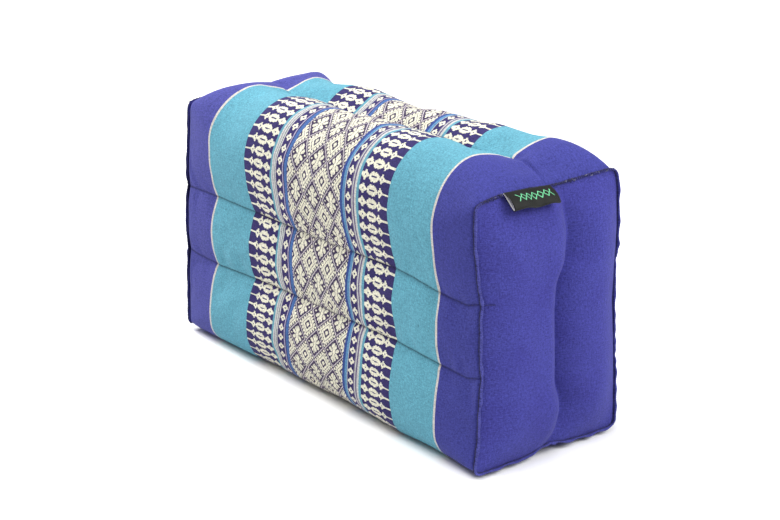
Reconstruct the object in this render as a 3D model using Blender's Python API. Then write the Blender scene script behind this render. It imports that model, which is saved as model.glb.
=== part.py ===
# Meditation cushion: a firm block of woven cloth, standing on its long narrow side.
# X runs along the cushion, Y from its front face to its back, and Z is up.
# The origin is on the floor, under the middle of the cushion.
import math

import bpy
import numpy as np

# The seams that join the cover to its end panels, in metres
SEAM_HALF_LENGTH = 0.1690    # from the middle of the cushion, at mid height
FLARE = 0.0040               # the weight pushes a seam's foot out, and draws its head in, by this
SEAM_HALF_THICKNESS = 0.0603
SEAM_BOTTOM = 0.0072
SEAM_TOP = 0.1880
SEAM_CORNER_RADIUS = 0.0008

# The cover at its fullest: its long edges are soft rolls, tighter where they stand
CROWN_BOTTOM = -0.0055       # where the lower tubes would hang to, if the floor didn't flatten them
CROWN_TOP = 0.2055
CROWN_TOP_SLOPE = 0.0030     # the top is this much higher at the right-hand end, and lower at the left
CROWN_REACH = 0.062          # the cover swells from a seam to its full section over this length
FRONT = {"half_thickness": 0.0685, "taper": 0.0000, "top_radius": 0.034, "bottom_radius": 0.024}
BACK = {"half_thickness": 0.0650, "taper": 0.0035, "top_radius": 0.042, "bottom_radius": 0.024}

# Sewn grooves, as the cover lies from the floor up. "at" is the height of a groove on the
# front and back, or its place across the top and bottom. A groove is "depth" deep, and the
# cloth dips over "reach" on each side of it; "seam_depth" and "seam_reach" hold at the ends.
GROOVES = {
    "bottom": {"at": 0.002, "depth": 0.0110, "reach": 0.028, "seam_depth": 0.0050, "seam_reach": 0.036},
    "lower": {"at": 0.066, "depth": 0.0082, "reach": 0.042, "seam_depth": 0.0030, "seam_reach": 0.022},
    "upper": {"at": 0.122, "depth": 0.0082, "reach": 0.042, "seam_depth": 0.0030, "seam_reach": 0.022},
    "top": {"at": 0.003, "depth": 0.0115, "reach": 0.029, "seam_depth": 0.0012, "seam_reach": 0.030},
}

# End panels
PANEL_THICKNESS = 0.0015
PANEL_CROWN = 0.0130         # how far each of the two columns swells past the seam
PANEL_RISE = 0.042           # the swelling is full this far from the top and bottom seams
PANEL_SIDE_RISE = 0.030      # and this far from the side seams
CREASE_AT = 0.0075           # the upright crease between the two columns, behind the middle
CREASE_DEPTH = 0.0110
CREASE_REACH = 0.022
RIM_WIDTH = 0.0030           # the raised seam all round a panel
RIM_THICKNESS = 0.0030
RIM_CORNER = 15              # the higher, the squarer the rim turns its corners
GAP = 0.0004                 # between a panel and the cover behind it

# Label: a folded tab under the top seam of the right-hand end
LABEL_CENTRE_Y = -0.0165
LABEL_WIDTH = 0.0430
LABEL_LIFT = 0.0010          # its sewn edge stands this far above the raised seam
LABEL_DROP = 0.0122
LABEL_THICKNESS = 0.0010
LABEL_FOLD_GAP = 0.0008
LABEL_CLEARANCE = 0.0005     # between the label and the fullest part of the panel under it
LABEL_SPANS = 8
LABEL_ROWS = 6

# Mesh spans round half of the section, and along the cushion
HALF_GIRTH_SPANS = {"bottom": 6, "low_corner": 7, "middle": 6, "high_corner": 7, "top": 6}
LENGTH_SPANS = 28


def mix(first, second, share):
    return first + (second - first) * share


def ease(distance, reach):
    """0 at a seam, 1 from `reach` on, as a parabola that levels out."""
    return 1.0 - (1.0 - np.clip(distance / reach, 0.0, 1.0)) ** 2


def pinch(distance, depth, reach):
    """How far the cloth is drawn in at a distance from a groove."""
    return depth * np.clip(1.0 - distance / reach, 0.0, 1.0) ** 2


def corner_leg(along, radius):
    """A quarter of a rounded corner: from its middle along one straight leg.

    Gives the run along the leg's own direction and the rise across it, both measured
    from the centre of the corner's arc, and the same two parts of the outward normal.
    """
    arc_end = radius * math.pi / 4.0
    angle = math.pi / 4.0 + np.minimum(along, arc_end) / radius
    straight = np.maximum(along - arc_end, 0.0)
    return radius * np.cos(angle) - straight, radius * np.sin(angle), np.cos(angle), np.sin(angle)


def groove_at(name, full):
    """A groove's depth and reach where the section is `full` of its crown."""
    groove = GROOVES[name]
    return (mix(groove["seam_depth"], groove["depth"], full),
            mix(groove["seam_reach"], groove["reach"], full))


def half_section(side, full, lean):
    """One half of a section, from the bottom groove round to the top one, as y and z.

    `full` is 0 at an end seam, where the section is a plain box, and 1 in the middle,
    where it has round long edges and dips at its grooves. `lean` runs from -1 to 1
    along the cushion. Both halves are worked out with y growing outwards.
    """
    half = mix(SEAM_HALF_THICKNESS, side["half_thickness"] + side["taper"] * lean, full)
    bottom = mix(SEAM_BOTTOM, CROWN_BOTTOM, full)
    top = mix(SEAM_TOP, CROWN_TOP + CROWN_TOP_SLOPE * lean, full)
    low_radius = mix(SEAM_CORNER_RADIUS, side["bottom_radius"], full)
    high_radius = mix(SEAM_CORNER_RADIUS, side["top_radius"], full)
    quarter_arc = math.pi / 4.0
    lower, upper = GROOVES["lower"]["at"], GROOVES["upper"]["at"]
    parts = []

    # the two legs of the low corner: from the bottom groove, and on up to the lower groove
    depth, reach = groove_at("bottom", full)
    leg = half - low_radius + low_radius * quarter_arc
    along = leg * (1.0 - np.arange(HALF_GIRTH_SPANS["bottom"]) / HALF_GIRTH_SPANS["bottom"])
    run, rise, normal_run, normal_rise = corner_leg(along, low_radius)
    dip = pinch(leg - along, depth, reach)
    parts.append((half - low_radius + run - dip * normal_run, bottom + low_radius - rise + dip * normal_rise))

    depth, reach = groove_at("lower", full)
    leg = lower - bottom - low_radius + low_radius * quarter_arc
    along = leg * np.arange(HALF_GIRTH_SPANS["low_corner"]) / HALF_GIRTH_SPANS["low_corner"]
    run, rise, normal_run, normal_rise = corner_leg(along, low_radius)
    dip = pinch(leg - along, depth, reach)
    parts.append((half - low_radius + rise - dip * normal_rise, bottom + low_radius - run + dip * normal_run))

    # the middle channel, drawn in from both of its grooves
    climb = (upper - lower) * np.arange(HALF_GIRTH_SPANS["middle"]) / HALF_GIRTH_SPANS["middle"]
    dip = pinch(climb, depth, reach) + pinch(upper - lower - climb, depth, reach)
    parts.append((half - np.minimum(dip, depth), lower + climb))

    # the two legs of the high corner
    depth, reach = groove_at("upper", full)
    leg = top - upper - high_radius + high_radius * quarter_arc
    along = leg * (1.0 - np.arange(HALF_GIRTH_SPANS["high_corner"]) / HALF_GIRTH_SPANS["high_corner"])
    run, rise, normal_run, normal_rise = corner_leg(along, high_radius)
    dip = pinch(leg - along, depth, reach)
    parts.append((half - high_radius + rise - dip * normal_rise, top - high_radius + run - dip * normal_run))

    depth, reach = groove_at("top", full)
    leg = half - high_radius + high_radius * quarter_arc
    along = leg * np.arange(HALF_GIRTH_SPANS["top"] + 1) / HALF_GIRTH_SPANS["top"]
    run, rise, normal_run, normal_rise = corner_leg(along, high_radius)
    dip = pinch(leg - along, depth, reach)
    parts.append((half - high_radius + run - dip * normal_run, top - high_radius + rise - dip * normal_rise))
    return np.concatenate([part[0] for part in parts]), np.concatenate([part[1] for part in parts])


def full_section(full, lean):
    """The closed section, from the bottom groove over the front and the top to the back."""
    front_y, front_z = half_section(FRONT, full, lean)
    back_y, back_z = half_section(BACK, full, lean)
    y = np.concatenate([-front_y, back_y[1:-1][::-1]])
    z = np.concatenate([front_z, back_z[1:-1][::-1]])
    # the top and bottom grooves lie a little off the middle
    height = np.clip(z / CROWN_TOP, 0.0, 1.0)
    shift = mix(GROOVES["bottom"]["at"], GROOVES["top"]["at"], height)
    inside = np.clip(1.0 - np.abs(y) / SEAM_HALF_THICKNESS, 0.0, 1.0)
    return y + shift * inside * full, np.maximum(z, 0.0)


def seam_x(z):
    """Where an end seam lies, as a distance from the middle: its foot is pushed outwards."""
    middle = 0.5 * (SEAM_BOTTOM + SEAM_TOP)
    return SEAM_HALF_LENGTH + FLARE * (middle - z) / (middle - SEAM_BOTTOM)


def panel_swell(y, z):
    """How far an end panel stands out past its seam: two columns and a crease."""
    sides = SEAM_HALF_THICKNESS - np.abs(y)
    ends = np.minimum(z - SEAM_BOTTOM, SEAM_TOP - z)
    rise = ease(np.maximum(sides, 0.0), PANEL_SIDE_RISE) * ease(np.maximum(ends, 0.0), PANEL_RISE)
    return (PANEL_CROWN - pinch(np.abs(y - CREASE_AT), CREASE_DEPTH, CREASE_REACH)) * rise


def patch_grid(y, z):
    """Fills a closed section with a grid, by adding up the pulls of its four sides."""
    across = HALF_GIRTH_SPANS["bottom"]
    up = sum(HALF_GIRTH_SPANS[name] for name in ("low_corner", "middle", "high_corner"))
    outline = np.stack([y, z], axis=1)
    front = outline[across:across + up + 1]
    top = outline[across + up:3 * across + up + 1]
    back = outline[3 * across + up:3 * across + 2 * up + 1][::-1]
    bottom = np.concatenate([outline[-across:], outline[:across + 1]])[::-1]
    u = np.linspace(0.0, 1.0, 2 * across + 1)[:, None, None]
    v = np.linspace(0.0, 1.0, up + 1)[None, :, None]
    sides = (1.0 - u) * front[None] + u * back[None]
    ends = (1.0 - v) * bottom[:, None] + v * top[:, None]
    corners = ((1.0 - u) * (1.0 - v) * front[0] + (1.0 - u) * v * front[-1]
               + u * (1.0 - v) * back[0] + u * v * back[-1])
    grid = sides + ends - corners
    return grid[:, :, 0], grid[:, :, 1]


def grid_border(columns, rows):
    """Indices of a grid's outer points, in the order of the closed section."""
    index = np.arange(columns * rows).reshape(columns, rows)
    middle = columns // 2
    return np.concatenate([index[middle:0:-1, 0], index[0, :-1], index[:-1, -1],
                           index[-1, :0:-1], index[-1:middle:-1, 0]])


def split(quads, flip):
    """Halves four-sided faces along the same diagonal, whichever way they point."""
    triangles = np.concatenate([quads[:, [0, 1, 2]], quads[:, [0, 2, 3]]])
    return triangles[:, ::-1] if flip else triangles


def grid_faces(columns, rows, start, flip):
    index = start + np.arange(columns * rows).reshape(columns, rows)
    quads = np.stack([index[:-1, :-1], index[1:, :-1], index[1:, 1:], index[:-1, 1:]], axis=-1)
    return split(quads.reshape(-1, 4), flip)


def ring_faces(first, second, flip):
    """A band of faces between two closed rings of point indices."""
    quads = np.stack([first, np.roll(first, -1), np.roll(second, -1), second], axis=-1)
    return split(quads, flip)


def add_solid(name, points, faces, colour, roughness, collection):
    mesh = bpy.data.meshes.new(name)
    mesh.from_pydata(points, [], faces)
    mesh.shade_smooth()
    material = bpy.data.materials.new(name)
    material.use_nodes = True
    shader = material.node_tree.nodes["Principled BSDF"]
    shader.inputs["Base Color"].default_value = (*colour, 1.0)
    shader.inputs["Roughness"].default_value = roughness
    shader.inputs["Metallic"].default_value = 0.0
    mesh.materials.append(material)
    solid = bpy.data.objects.new(name, mesh)
    collection.objects.link(solid)
    return solid


def build_cushion(collection):
    """The filled cover: a loft of sections, closed at each end under its panel."""
    inset = PANEL_THICKNESS + GAP
    rings = []
    for station in np.sin(np.linspace(-0.5, 0.5, LENGTH_SPANS + 1) * math.pi):
        full = float(ease((1.0 - abs(station)) * SEAM_HALF_LENGTH, CROWN_REACH))
        y, z = full_section(full, station)
        rings.append(np.stack([station * (seam_x(z) - inset), y, z], axis=1))
    count = len(rings[0])
    ring_index = np.arange(count * len(rings)).reshape(len(rings), count)
    points = [np.concatenate(rings)]
    faces = [ring_faces(ring_index[k], ring_index[k + 1], True) for k in range(LENGTH_SPANS)]

    # each end is a patch whose border is the last ring itself
    grid_y, grid_z = patch_grid(*full_section(0.0, 0.0))
    columns, rows = grid_y.shape
    border = grid_border(columns, rows)
    start = count * len(rings)
    for side, ring in ((-1.0, ring_index[0]), (1.0, ring_index[-1])):
        x = side * (seam_x(grid_z) - inset + panel_swell(grid_y, grid_z))
        points.append(np.stack([x, grid_y, grid_z], axis=-1).reshape(-1, 3))
        shared_point = np.arange(start + columns * rows)
        shared_point[start + border] = ring
        faces.append(shared_point[grid_faces(columns, rows, start, side < 0.0)])
        start += columns * rows
    used, faces = np.unique(np.concatenate(faces), return_inverse=True)
    points = np.concatenate(points)[used]
    add_solid("cushion", points, faces.reshape(-1, 3), (0.11, 0.38, 0.50), 0.85, collection)


def build_end_panel(name, side, collection):
    """A thin sheet over one end, with a raised seam all round it."""
    y, z = full_section(0.0, 0.0)
    grid_y, grid_z = patch_grid(y, z)
    columns, rows = grid_y.shape
    border = grid_border(columns, rows)
    outer_x = seam_x(grid_z) + panel_swell(grid_y, grid_z)
    outer = np.stack([outer_x, grid_y, grid_z], axis=-1).reshape(-1, 3)
    inner = outer - np.array([PANEL_THICKNESS, 0.0, 0.0])

    # the rim stands out from the seam, away from the middle of the panel
    middle_z = 0.5 * (SEAM_BOTTOM + SEAM_TOP)
    outward_y = np.clip(y / SEAM_HALF_THICKNESS, -1.0, 1.0) ** RIM_CORNER
    outward_z = np.clip((z - middle_z) / (SEAM_TOP - middle_z), -1.0, 1.0) ** RIM_CORNER
    seam = np.stack([seam_x(z), y, z], axis=1)
    edge = seam + RIM_WIDTH * np.stack([np.zeros_like(y), outward_y, outward_z], axis=1)
    lift = np.array([RIM_THICKNESS - PANEL_THICKNESS, 0.0, 0.0])
    rings = [edge - np.array([PANEL_THICKNESS, 0.0, 0.0]), edge + lift, seam + lift]

    size, count = columns * rows, len(border)
    behind, before, lip = (2 * size + k * count + np.arange(count) for k in range(3))
    flip = side < 0.0
    faces = [grid_faces(columns, rows, 0, flip), grid_faces(columns, rows, size, not flip),
             ring_faces(size + border, behind, not flip), ring_faces(behind, before, not flip),
             ring_faces(before, lip, not flip), ring_faces(lip, border, not flip)]
    points = np.concatenate([outer, inner] + rings) * np.array([side, 1.0, 1.0])
    add_solid(name, points, np.concatenate(faces), (0.075, 0.075, 0.36), 0.9, collection)


def build_label(collection):
    """A strip folded in two, caught at the top seam and hanging over the right-hand panel."""
    low_y = LABEL_CENTRE_Y - 0.5 * LABEL_WIDTH
    y = np.linspace(low_y, low_y + LABEL_WIDTH, LABEL_SPANS + 1)
    z = SEAM_TOP + RIM_WIDTH + LABEL_LIFT - LABEL_DROP * np.arange(LABEL_ROWS + 1) / LABEL_ROWS
    crest = panel_swell(y[:, None], z[None, :]).max(axis=0)
    seat = seam_x(z) + np.maximum(crest, RIM_THICKNESS - PANEL_THICKNESS) + LABEL_CLEARANCE
    inner_z = np.maximum(z, z[-1] + LABEL_THICKNESS)
    # the section of the strip: down its outer face, round the fold, up the back, and then
    # down and up between its two layers
    outer_face = np.stack([seat + 2.0 * LABEL_THICKNESS + LABEL_FOLD_GAP, z])
    back_face = np.stack([seat, z])[:, ::-1]
    inner_back = np.stack([seat + LABEL_THICKNESS, inner_z])
    inner_front = np.stack([seat + LABEL_THICKNESS + LABEL_FOLD_GAP, inner_z])[:, ::-1]
    section_x, section_z = np.concatenate([outer_face, back_face, inner_back, inner_front], axis=1)
    count = len(section_x)
    rings = [np.stack([section_x, np.full(count, place), section_z], axis=1) for place in y]
    index = np.arange(count * len(rings)).reshape(len(rings), count)
    faces = [face for k in range(LABEL_SPANS) for face in ring_faces(index[k], index[k + 1], False).tolist()]
    faces.append(index[0][::-1].tolist())
    faces.append(index[-1].tolist())
    add_solid("label", np.concatenate(rings), faces, (0.006, 0.006, 0.008), 0.7, collection)


def main():
    for leftover in list(bpy.data.objects):
        bpy.data.objects.remove(leftover)
    parts = bpy.data.collections.new("meditation_cushion")
    bpy.context.scene.collection.children.link(parts)
    build_cushion(parts)
    build_end_panel("end_panel_right", 1.0, parts)
    build_end_panel("end_panel_left", -1.0, parts)
    build_label(parts)


main()
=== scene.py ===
# Meditation cushion: the looks of a firm kapok block in a woven, striped and brocaded cover.
# It stands on its long narrow side. X runs along it, Y from its front to its back, Z is up.
import math

import bpy
import numpy as np
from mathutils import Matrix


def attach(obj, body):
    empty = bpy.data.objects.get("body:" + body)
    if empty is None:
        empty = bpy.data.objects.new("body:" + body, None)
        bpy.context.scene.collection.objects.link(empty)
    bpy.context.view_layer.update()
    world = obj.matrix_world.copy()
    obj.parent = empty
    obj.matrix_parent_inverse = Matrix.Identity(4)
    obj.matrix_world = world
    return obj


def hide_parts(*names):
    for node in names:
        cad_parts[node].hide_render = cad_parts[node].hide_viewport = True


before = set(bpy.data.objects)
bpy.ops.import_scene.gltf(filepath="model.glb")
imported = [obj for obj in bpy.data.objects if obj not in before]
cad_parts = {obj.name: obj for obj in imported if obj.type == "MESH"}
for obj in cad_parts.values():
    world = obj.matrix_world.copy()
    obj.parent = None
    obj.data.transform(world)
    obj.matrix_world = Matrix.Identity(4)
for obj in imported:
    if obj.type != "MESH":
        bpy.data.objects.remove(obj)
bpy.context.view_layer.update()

scene = bpy.context.scene

# the camera

camera = {
    "azimuth": 50.95, "elevation": 20.05,  # degrees, round the block and above the floor
    "distance": 1.530, "right": -0.00019, "up": 0.08704,  # metres, along its own axes
    "lens": 94.2, "sensor": 36.0,  # mm
    "near": 0.05, "far": 50.0,  # metres, nothing outside them is drawn
}


def addCamera(setup):
    # position = back * distance + right * a + up * b, with the axes taken from two angles
    turn, lift = math.radians(setup["azimuth"]), math.radians(setup["elevation"])
    back = np.array([math.sin(turn) * math.cos(lift), -math.cos(turn) * math.cos(lift), math.sin(lift)])
    right = np.array([math.cos(turn), math.sin(turn), 0.0])
    up = np.cross(back, right)
    data = bpy.data.cameras.new("camera")
    data.lens, data.sensor_width = setup["lens"], setup["sensor"]
    data.clip_start, data.clip_end = setup["near"], setup["far"]
    eye = bpy.data.objects.new("camera", data)
    eye.location = back * setup["distance"] + right * setup["right"] + up * setup["up"]
    eye.rotation_euler = (math.pi / 2 - lift, 0.0, turn)
    scene.collection.objects.link(eye)
    scene.camera = eye


addCamera(camera)
print("camera placed")


# meshes and shader maths

def mix(first, second, share):
    # the first value where the share is 0, the second where it is 1, a straight line between
    return first + (second - first) * share


def ease(distance, reach):
    # 0 at a seam, 1 from reach on: a parabola that levels out
    return 1.0 - (1.0 - np.clip(distance / reach, 0.0, 1.0)) ** 2


def pinch(distance, depth, reach):
    # how far the cloth is drawn in near a groove: depth * (1 - distance / reach) squared
    return depth * np.clip(1.0 - distance / reach, 0.0, 1.0) ** 2


def smooth(value, low, high):
    # 0 below low, 1 above high, and the usual 3t^2 - 2t^3 between them
    t = np.clip((value - low) / (high - low), 0.0, 1.0)
    return t * t * (3.0 - 2.0 * t)


def ripples(along, seed, shortest, longest, count=9):
    # a sum of sine waves with seeded lengths and phases, scaled to stay near -1..1
    rng = np.random.default_rng(seed)
    total, circle = np.zeros_like(np.asarray(along, float)), 6.2832
    for length, phase in zip(rng.uniform(shortest, longest, count), rng.uniform(0.0, circle, count)):
        total = total + np.sin(circle * along / length + phase)
    return total / math.sqrt(count)


def unit(vectors):
    # each vector divided by its own length
    return vectors / np.maximum(np.linalg.norm(vectors, axis=-1, keepdims=True), 1e-12)


def gridQuads(columns, rows, start=0, flip=False):
    # the four-sided faces of a grid of points, as rows of four indices
    index = start + np.arange(columns * rows).reshape(columns, rows)
    quads = np.stack([index[:-1, :-1], index[1:, :-1], index[1:, 1:], index[:-1, 1:]], axis=-1)
    return quads.reshape(-1, 4)[:, ::-1] if flip else quads.reshape(-1, 4)


def ringQuads(first, second, flip=False):
    # a band of faces between two closed rings of indices
    quads = np.stack([first, np.roll(first, -1), np.roll(second, -1), second], axis=-1)
    return quads[:, ::-1] if flip else quads


def addPiece(mesh, material):
    # a finished mesh as an object of the same name in the scene
    mesh.shade_smooth()
    mesh.materials.append(material)
    piece = bpy.data.objects.new(mesh.name, mesh)
    scene.collection.objects.link(piece)
    return piece


def makePiece(name, points, quads, material, maps=None):
    # one mesh from arrays of points and faces; each of the maps holds a pair of numbers for each
    # point, or for each corner of each face
    points, quads = np.asarray(points, float).reshape(-1, 3), np.asarray(quads)
    mesh = bpy.data.meshes.new(name)
    mesh.vertices.add(len(points))
    mesh.vertices.foreach_set("co", points.ravel())
    mesh.loops.add(quads.size)
    mesh.loops.foreach_set("vertex_index", quads.ravel().astype(np.int32))
    mesh.polygons.add(len(quads))
    mesh.polygons.foreach_set("loop_start", np.arange(0, quads.size, quads.shape[1], dtype=np.int32))
    mesh.update(calc_edges=True)
    for label, values in (maps or {}).items():
        corner = np.asarray(values, float)
        corner = corner if len(corner) == quads.size else corner[quads.ravel()]
        mesh.uv_layers.new(name=label).data.foreach_set("uv", corner.ravel())
    return addPiece(mesh, material)


def subdivide(piece):
    # each face becomes four, on a smoother surface
    modifier = piece.modifiers.new("Subdivision", "SUBSURF")
    modifier.levels = modifier.render_levels = 1


def joined(operation, swapped=False):
    # a method that puts a link and a second value into one Math node
    return lambda self, other=0.0: self.maths(operation, *((other, self) if swapped else (self, other)))


class Link:
    # a shader socket that can be added, multiplied and compared like a number
    def __init__(self, tree, socket):
        self.tree, self.socket = tree, socket

    def node(self, kind, settings=None, values=None, output=0):
        # any node: its settings first, then the values or links of its sockets
        made = self.tree.nodes.new(kind)
        for name, setting in (settings or {}).items():
            if name == "stops":
                ramp = made.color_ramp
                while len(ramp.elements) < len(setting):
                    ramp.elements.new(1.0)
                for element, (place, colour) in zip(ramp.elements, setting):
                    element.position, element.color = place, colour
            elif name == "interpolation":
                made.color_ramp.interpolation = setting
            else:
                setattr(made, name, setting)
        for name, value in (values or {}).items():
            if isinstance(value, Link):
                self.tree.links.new(value.socket, made.inputs[name])
            else:
                made.inputs[name].default_value = value
        return Link(self.tree, made.outputs[output])

    def maths(self, operation, first, second=0.0):
        return self.node("ShaderNodeMath", {"operation": operation}, {0: first, 1: second})

    __add__ = __radd__ = joined("ADD")
    __mul__ = __rmul__ = joined("MULTIPLY")
    __sub__, __rsub__ = joined("SUBTRACT"), joined("SUBTRACT", swapped=True)
    __truediv__, __abs__ = joined("DIVIDE"), joined("ABSOLUTE")
    __lt__, __gt__ = joined("LESS_THAN"), joined("GREATER_THAN")
    most = joined("MAXIMUM")
    fold = joined("PINGPONG")  # 0 at every whole repeat, rising to half between them

    def threads(self, pitch):
        # the middle of the thread that a place lies on
        return (self.maths("FLOOR", self / pitch) + 0.5) * pitch

    def ramp(self, stops, interpolation="LINEAR"):
        settings = {"stops": stops, "interpolation": interpolation}
        return self.node("ShaderNodeValToRGB", settings, {"Fac": self})

    def blend(self, first, second):
        # the first colour where this is 0, the second where it is 1
        return self.node("ShaderNodeMix", {"data_type": "RGBA"}, {0: self, 6: first, 7: second}, 2)

    def split(self):
        # the three parts of a vector or a colour
        parts = self.node("ShaderNodeSeparateXYZ", None, {0: self})
        return [Link(self.tree, socket) for socket in parts.socket.node.outputs]


def srgb(red, green, blue):
    # a colour given from 0 to 255 as it looks on a screen, made linear
    part = np.array([red, green, blue]) / 255.0
    linear = np.where(part <= 0.04045, part / 12.92, ((part + 0.055) / 1.055) ** 2.4)
    return (*linear.tolist(), 1.0)


def startMaterial(name, roughness, sheen=0.0, sheenRoughness=0.5, specular=0.3):
    # a bare material: its Principled shader, and a Link to build the rest of its nodes from
    material = bpy.data.materials.new(name)
    material.use_nodes = True
    tree = material.node_tree
    shader = tree.nodes["Principled BSDF"]
    shader.inputs["Roughness"].default_value = roughness
    shader.inputs["Sheen Weight"].default_value = sheen
    shader.inputs["Sheen Roughness"].default_value = sheenRoughness
    shader.inputs["Specular IOR Level"].default_value = specular
    return material, shader, Link(tree, None)


def wire(shader, colour, height, strength, distance=1.0):
    # joins the finished colour to the Principled shader, and the height through a bump
    bump = height.node("ShaderNodeBump", None, {"Strength": strength, "Distance": distance, "Height": height})
    height.tree.links.new(colour.socket, shader.inputs["Base Color"])
    height.tree.links.new(bump.socket, shader.inputs["Normal"])


# cloth and thread materials

colours = {
    # rimDark is the rim's painted shade at its feet, and it also darkens the rim along the top
    "indigo": srgb(62, 63, 137), "indigoDeep": srgb(55, 54, 126), "rimDark": srgb(26, 24, 66),
    # the cover's indigo at each end: lighter at the left with painted sheen, darker at the right with painted
    # shade
    "indigoSheenLeft": srgb(71, 72, 141), "indigoShadeRight": srgb(59, 61, 132),
    "rimLight": srgb(74, 76, 146), "teal": srgb(90, 150, 168), "ground": srgb(64, 54, 80),
    "navy": srgb(50, 43, 92), "cream": srgb(212, 209, 190), "pale": srgb(186, 178, 182),
    "line": srgb(190, 184, 178),
    "cornflower": srgb(84, 128, 166), "ocean": srgb(64, 96, 150), "royal": srgb(52, 70, 130),
    "lavender": srgb(158, 150, 172), "mauve": srgb(104, 92, 122), "aqua": srgb(92, 146, 164),
    "whitish": srgb(182, 184, 180),
}

weave = {
    "end": 0.0525, "pick": 0.0530,  # cm between threads across and along the cloth
    "repeatWide": 2.10, "repeatHigh": 2.65,  # cm, one flower to the next
    "flowerRow": 15.62,  # cm, where one row of flowers lies
    # cm from the cloth's middle: the edges of its bands, and the pale line between teal and indigo
    "brocadeEdge": 3.10, "bandEdge": 5.13, "tealEdge": 8.30, "lineAt": 12.86, "lineWide": 0.185,
    "grooveShade": 0.55, "brocadeSpared": 0.7,  # painted shade along the stitched grooves: how dark it is, and how much less of it in the brocade
}

# the small bands beside the brocade, from its edge outwards: where each colour starts, in cm
bandsRight = [(0.00, "royal"), (0.24, "cornflower"), (0.50, "whitish"), (0.57, "navy"), (1.22, "mauve"),
              (1.30, "whitish"), (1.41, "mauve"), (1.56, "whitish"), (1.80, "aqua")]
bandsLeft = [(0.00, "royal"), (0.06, "ocean"), (0.38, "navy"), (0.46, "lavender"), (0.58, "navy"),
             (1.25, "mauve"), (1.31, "whitish"), (1.42, "navy"), (1.49, "whitish"), (1.62, "mauve"),
             (1.69, "whitish"), (1.82, "aqua")]

# the chained motif of the wide dark bands, from the inner edge outwards: where a step starts, how
# high the pale yarn reaches there and how high its dark eye is if it has one, in cm
chain = {
    "long": 3.30, "high": 0.5,  # the table's whole length, and no step is higher than this
    "steps": [(0.00, 0.10), (0.06, 0.15), (0.16, 0.19), (0.26, 0.23), (0.32, 0.34), (0.37, 0.34, 0.055),
              (0.46, 0.32), (0.51, 0.22), (0.58, 0.17), (0.70, 0.10), (0.80, 0.05), (0.90, 0.19),
              (1.01, 0.26), (1.12, 0.345, 0.045), (1.30, 0.30, 0.050), (1.42, 0.35, 0.050),
              (1.60, 0.30, 0.045), (1.70, 0.30), (1.76, 0.24), (1.86, 0.17), (1.94, 0.07), (2.07, 0.16),
              (2.15, 0.32), (2.21, 0.31, 0.060), (2.32, 0.19), (2.42, 0.12), (2.53, 0.075)],
}
# the small lozenges of the narrow dark band, from their middle outwards, in the same way
lozenges = {
    "at": 4.02, "reach": 0.35,  # cm, their middle, and where they stop
    "long": 0.5, "high": 0.5,
    "steps": [(0.00, 0.31, 0.050), (0.08, 0.21), (0.15, 0.13), (0.23, 0.05), (0.31, 0.00)],
}
# the brocade, in cells, ten of them from a flower's middle to a ring's middle each way
brocade = {
    "cells": 10.0,
    # its rings, by diamond distance from a flower's middle: light where 1, dark where 0
    "rings": [(0.0, 0.0), (8.8, 1.0), (9.7, 0.0), (12.6, 1.0), (14.0, 0.0), (14.6, 1.0), (16.7, 0.0),
              (18.3, 1.0)],
    "paleEnd": 10.0,  # rings nearer than this are pale, the others cream
    "knots": (10.7, 12.7), "knotHalf": 1.60, "knotGap": 0.65,  # a row of knots between two rings
    "flowerEnd": 7.3,  # nothing of a flower lies past this distance
    # half widths of the flower's upright petals, by height from its middle
    "petals": [(0.0, 1.5), (0.4, 0.8), (1.0, 1.0), (1.8, 1.5), (3.0, 2.3), (4.6, 1.8), (5.2, 1.0),
               (6.1, 0.0)],
    "widest": 4.0,  # no petal is wider than this
    "slit": (1.0, 0.25, 4.0),  # in their tips: how far out, half width, from which height
    # its slanting petals, four round each flower: middle, degrees up from level, and half sizes
    "leaf": (3.4, 1.8), "leafTurn": 33.0, "leafLong": 2.2, "leafWide": 1.08,
    "dash": (5.7, 7.1, 0.32),  # a small dash on each side: from, to, half height
}

# threads that run thick and thin: how fine each noise is across and along the cloth, in steps a cm,
# its seed, and how strongly it shows
coverGrain = {
    "lengthways": (7.0, 1.3, 1.0, 0.45), "crossways": (1.5, 8.0, 5.0, 0.35),
    "fine": (13.0, 11.0, 9.0, 0.70), "slow": (0.35, 0.35, 3.0, 0.16),
    "wideFlecks": (13.0, 5.0, 13.0, 0.85), "longFlecks": (5.0, 13.0, 17.0, 0.85),
}
plainGrain = {
    "lengthways": (7.0, 1.3, 2.0, 0.40), "crossways": (1.5, 8.0, 6.0, 0.35),
    "fine": (13.0, 13.0, 8.0, 0.80), "slow": (0.35, 0.35, 4.0, 0.14),
    "wideFlecks": (13.0, 5.0, 12.0, 0.90), "longFlecks": (5.0, 13.0, 16.0, 0.90),
}
# how far threads, pale yarn and slubs stand up, in m, and how strongly all of it shows
relief = {"threads": 0.00006, "yarn": 0.00022, "slubs": 0.00035, "strength": 0.6}
# the plain cloth: cm from one twill line to the next and how strongly it shows; on the rim, how light
# its fuzz is, how dark it is made at its edges, with painted shade in the crevices at its feet, and how much
# rougher its grain is
plain = {"twill": 0.15, "twillShows": 0.03, "fuzz": 0.7, "dark": 0.85, "rimGrain": 1.2}


def stepStops(steps, long, high):
    # a step table as ramp stops: red holds the outer height, green the eye's, both over high
    return [(row[0] / long, (row[1] / high, (row[2] if len(row) > 2 else 0.0) / high, 0.0, 1.0))
            for row in steps]


def stepHeights(place, steps, long, high):
    # what a step table says at a place: the outer height and the eye's
    outer, eye, _ = (place / long).ramp(stepStops(steps, long, high), "CONSTANT").split()
    return outer * high, eye * high


def slubs(start, across, along, seed):
    # noise drawn out along each thread, from -0.5 to 0.5
    place = start.node("ShaderNodeCombineXYZ", None, {0: across, 1: along, 2: seed})
    return start.node("ShaderNodeTexNoise", None, {"Vector": place, "Scale": 1.0, "Detail": 2.0}) - 0.5


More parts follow.
